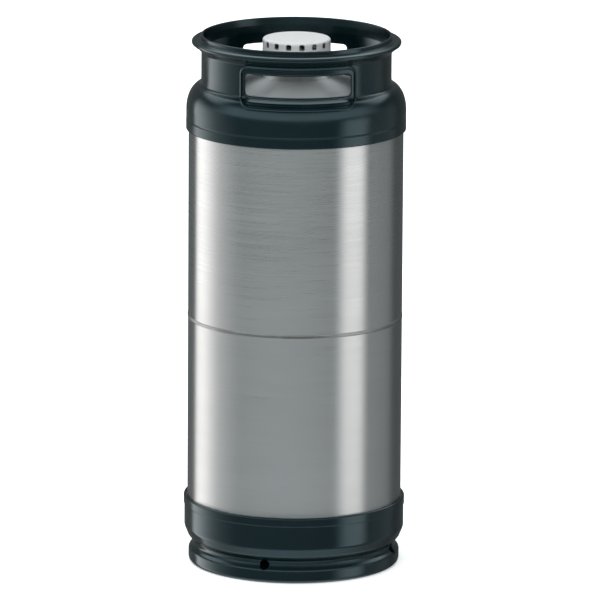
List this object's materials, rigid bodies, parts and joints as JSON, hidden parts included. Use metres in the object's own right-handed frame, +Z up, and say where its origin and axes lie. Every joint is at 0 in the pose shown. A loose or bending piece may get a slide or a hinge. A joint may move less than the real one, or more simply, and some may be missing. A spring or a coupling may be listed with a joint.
{
  "type": "beer keg",
  "caption": "Slim steel beer keg with moulded black top and bottom chimes, hand holes, a sprung extractor valve with a down tube, and a slotted dust cap.",
  "frame": {"origin": "centre of the foot ring, in the plane that the keg stands on", "axes": "+Z up the keg's axis to the valve; the two hand holes face -Y and +Y"},
  "size_m": [0.2452, 0.2452, 0.594],
  "materials": {
    "vessel_steel": "circumferential brushing, satin",
    "weld_steel": "ground weld bead",
    "machined_steel": "turned, satin",
    "spring_steel": "drawn wire",
    "ball_steel": "polished",
    "chime_plastic": "moulded, semi-gloss black",
    "cap_plastic": "moulded, pale grey",
    "seal_rubber": "nitrile rubber, smooth",
    "adhesive": "cured elastic adhesive"
  },
  "bodies": {
    "keg": {"upper_shell": "vessel_steel", "lower_shell": "vessel_steel", "centre_weld": "weld_steel", "top_chime": "chime_plastic", "bottom_chime": "chime_plastic", "upper_adhesive": "adhesive", "lower_adhesive": "adhesive", "neck_socket": "machined_steel", "neck_weld": "weld_steel", "neck_seal": "seal_rubber", "valve_housing": "machined_steel", "lock_ring": "spring_steel", "spring_cage": "machined_steel", "gas_spring": "spring_steel"},
    "spear": {"gas_valve_seal": "seal_rubber", "valve_cup": "machined_steel", "down_tube": "machined_steel", "ball_spring": "spring_steel"},
    "product_valve": {"product_ball": "ball_steel"},
    "cap": {"dust_cap": "cap_plastic"}
  },
  "joints": [
    {"name": "spear_press", "type": "slide", "parent": "keg", "child": "spear", "axis": [0, 0, -1], "range_m": [0, 0.007], "stiffness_N_per_m": 1500, "springref_m": -0.02, "deforming": ["gas_spring"]},
    {"name": "product_valve_press", "type": "slide", "parent": "spear", "child": "product_valve", "axis": [0, 0, -1], "range_m": [0, 0.006], "stiffness_N_per_m": 300, "springref_m": -0.008, "deforming": ["ball_spring"]},
    {"name": "dust_cap_lift", "type": "slide", "parent": "keg", "child": "cap", "axis": [0, 0, 1], "range_m": [0, 0.14]}
  ]
}
